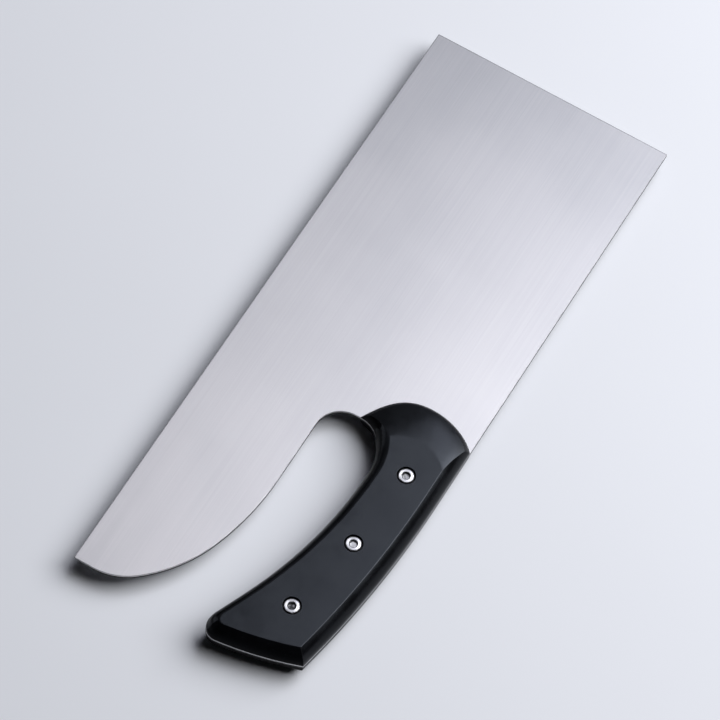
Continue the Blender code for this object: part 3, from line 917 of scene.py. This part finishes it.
fastenerSpec = {
    "sides": 64,
    "rim": 0.00055,
    "rimSegments": 3,
    "rimProfile": 0.6,
    "faceRing": 0.0010,
    "shankRadius": 0.0020,
    "sleeveRadius": 0.0028,
    "acrossFlats": 0.0030,
    "socketDepth": 0.0009,
    "socketRound": 0.0002,
    "socketTurn": 11.0,  # degrees
    "leadIn": 0.00022,
    "leadInSides": 48,
    "leadInAbove": 0.0004,
    "wallTilt": 0.85,  # in the socket, faces whose normals rise less than this take the dark edge colour, painted shade
    "socketFloorDarkening": {"rear": 0.85, "middle": 0.15, "front": 0.4},
    "headHeight": 0.0040,
    "smooth": 30.0,
}


def outFrom(centre, place):
    return math.hypot(place.x - centre.x, place.y - centre.y)


def cutAway(piece, cutter):
    cutting = piece.modifiers.new("socket", "BOOLEAN")
    cutting.operation = "DIFFERENCE"
    cutting.solver = "EXACT"
    cutting.object = cutter
    pick(piece)
    bpy.ops.object.modifier_apply(modifier=cutting.name)
    bpy.data.objects.remove(cutter, do_unlink=True)


def cutSocket(piece, centre, faceHeight, spec, way):
    # a hexagonal socket whose floor has a sloping border, and the cone that leads into it
    flat = spec["acrossFlats"] / 2
    corner = flat / math.cos(math.pi / 6)
    deselectAll()
    bpy.ops.mesh.primitive_cylinder_add(
        vertices=6,
        radius=corner,
        depth=2 * spec["socketDepth"],
        location=(centre.x, centre.y, faceHeight),
        rotation=(0.0, 0.0, math.radians(spec["socketTurn"])),
        calc_uvs=False,
    )
    hexagon = bpy.context.object
    bpy.ops.object.transform_apply(location=True, rotation=True, scale=True)
    chooseEnd(hexagon, -way)
    bpy.ops.mesh.inset(thickness=spec["socketRound"])
    bpy.ops.transform.translate(value=(0.0, 0.0, -way * spec["socketRound"]))
    bpy.ops.object.mode_set(mode="OBJECT")
    cutAway(piece, hexagon)
    above = spec["leadInAbove"]
    depth = corner + spec["leadIn"] - flat
    deselectAll()
    bpy.ops.mesh.primitive_cone_add(
        vertices=spec["leadInSides"],
        radius1=flat + depth + above,
        radius2=flat,
        depth=depth + above,
        location=(centre.x, centre.y, faceHeight + way * (above - depth) / 2),
        rotation=(math.pi if way > 0 else 0.0, 0.0, 0.0),
        calc_uvs=False,
    )
    cone = bpy.context.object
    bpy.ops.object.transform_apply(location=True, rotation=True, scale=True)
    cutAway(piece, cone)
    # painted shade: the socket walls take the dark edge colour
    attribute = piece.data.attributes["edge"]
    for face in piece.data.polygons:
        within = outFrom(centre, face.center) < corner + spec["leadIn"]
        if within and abs(face.normal.z) < spec["wallTilt"]:
            attribute.data[face.index].value = 1.0


def makeFastener(name, node, spec, steel, way, stemRadius):
    # way is 1 where the head faces up and -1 where it faces down
    low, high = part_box(node)
    centre = Vector(((low.x + high.x) / 2, (low.y + high.y) / 2, 0.0))
    radius = (high.x - low.x) / 2
    faceHeight = high.z if way > 0 else low.z
    endHeight = low.z if way > 0 else high.z
    seat = faceHeight - way * spec["headHeight"]
    deselectAll()
    bpy.ops.mesh.primitive_cylinder_add(
        vertices=spec["sides"],
        radius=radius,
        depth=spec["headHeight"],
        location=(centre.x, centre.y, (faceHeight + seat) / 2),
        calc_uvs=False,
    )
    piece = bpy.context.object
    piece.name = name
    piece.data.name = name
    bpy.ops.object.transform_apply(location=True, rotation=True, scale=True)
    # stem: the face at the seat is inset and drawn out
    chooseEnd(piece, -way)
    bpy.ops.mesh.inset(thickness=radius - stemRadius)
    bpy.ops.mesh.extrude_region_move(TRANSFORM_OT_translate={"value": (0.0, 0.0, endHeight - seat)})
    bpy.ops.object.mode_set(mode="OBJECT")

    def endRims(edge):
        heights = [vert.co.z for vert in edge.verts]
        offLevel = min(max(abs(z - end) for z in heights) for end in (faceHeight, endHeight))
        return offLevel < meshSpec["level"]

    def headFace(face):
        return abs(face.calc_center_median().z - faceHeight) < meshSpec["level"]

    chooseEdges(piece, endRims)
    bpy.ops.mesh.bevel(offset=spec["rim"], segments=spec["rimSegments"], profile=spec["rimProfile"])
    markEdgeFaces(piece)
    chooseFaces(piece, headFace)
    bpy.ops.mesh.inset(thickness=spec["faceRing"])
    bpy.ops.object.mode_set(mode="OBJECT")
    cutSocket(piece, centre, faceHeight, spec, way)
    piece.data.materials.clear()
    piece.data.materials.append(steel)
    return piece, centre


def addTurnedMap(piece, centre, radius):
    # U runs outward over the head and down its sides, V round the axis
    layer = piece.data.uv_layers.new(name="grain")
    for face in piece.data.polygons:
        middle = math.atan2(face.center.y - centre.y, face.center.x - centre.x)
        for loop in face.loop_indices:
            place = piece.data.vertices[piece.data.loops[loop].vertex_index].co
            bearing = math.atan2(place.y - centre.y, place.x - centre.x) - middle
            bearing = (bearing + math.pi) % (2 * math.pi) - math.pi + middle
            layer.data[loop].uv = (outFrom(centre, place) - place.z, bearing * radius)


def markSocketFloor(piece, centre, node, spec):
    # the three socket floors are darkened by unlike amounts
    place = node.split("_")[1]
    low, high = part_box(node)
    attribute = piece.data.attributes["edge"]
    for face in piece.data.polygons:
        deep = min(high.z - face.center.z, face.center.z - low.z)
        within = outFrom(centre, face.center) < spec["acrossFlats"] / 2
        if within and spec["socketDepth"] / 2 < deep < spec["headHeight"] / 2:
            if abs(face.normal.z) > spec["wallTilt"]:
                attribute.data[face.index].value = spec["socketFloorDarkening"][place]


def finishFastener(piece, centre, node, spec):
    radius = piece.data.attributes.new("radius", "FLOAT", "POINT")
    for vert in piece.data.vertices:
        radius.data[vert.index].value = outFrom(centre, vert.co)
    addTurnedMap(piece, centre, spec["shankRadius"])
    markSocketFloor(piece, centre, node, spec)
    smoothShade(piece, spec["smooth"])
    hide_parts(node)
    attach(piece, "root")


def makeFastenerRow(kind, spec, steel, way, stemRadius):
    first, start = makeFastener(kind + "Rear", kind + "_rear", spec, steel, way, stemRadius)
    for place in ("middle", "front"):
        low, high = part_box(kind + "_" + place)
        pick(first)
        bpy.ops.object.duplicate()
        other = bpy.context.object
        other.name = kind + place.capitalize()
        other.data.name = other.name
        goal = Vector(((low.x + high.x) / 2, (low.y + high.y) / 2, 0.0))
        bpy.ops.transform.translate(value=goal - start)
        bpy.ops.object.transform_apply(location=True, rotation=True, scale=True)
        finishFastener(other, goal, kind + "_" + place, spec)
    finishFastener(first, start, kind + "_rear", spec)


screwSteel = makeFastenerSteel("turnedScrewSteel", fastenerFinishSpec)
nutSteel = makeFastenerSteel("turnedNutSteel", nutFinishSpec)
makeFastenerRow("screw", fastenerSpec, screwSteel, 1, fastenerSpec["shankRadius"])
makeFastenerRow("nut", fastenerSpec, nutSteel, -1, fastenerSpec["sleeveRadius"])
print("fasteners done")

deselectAll()
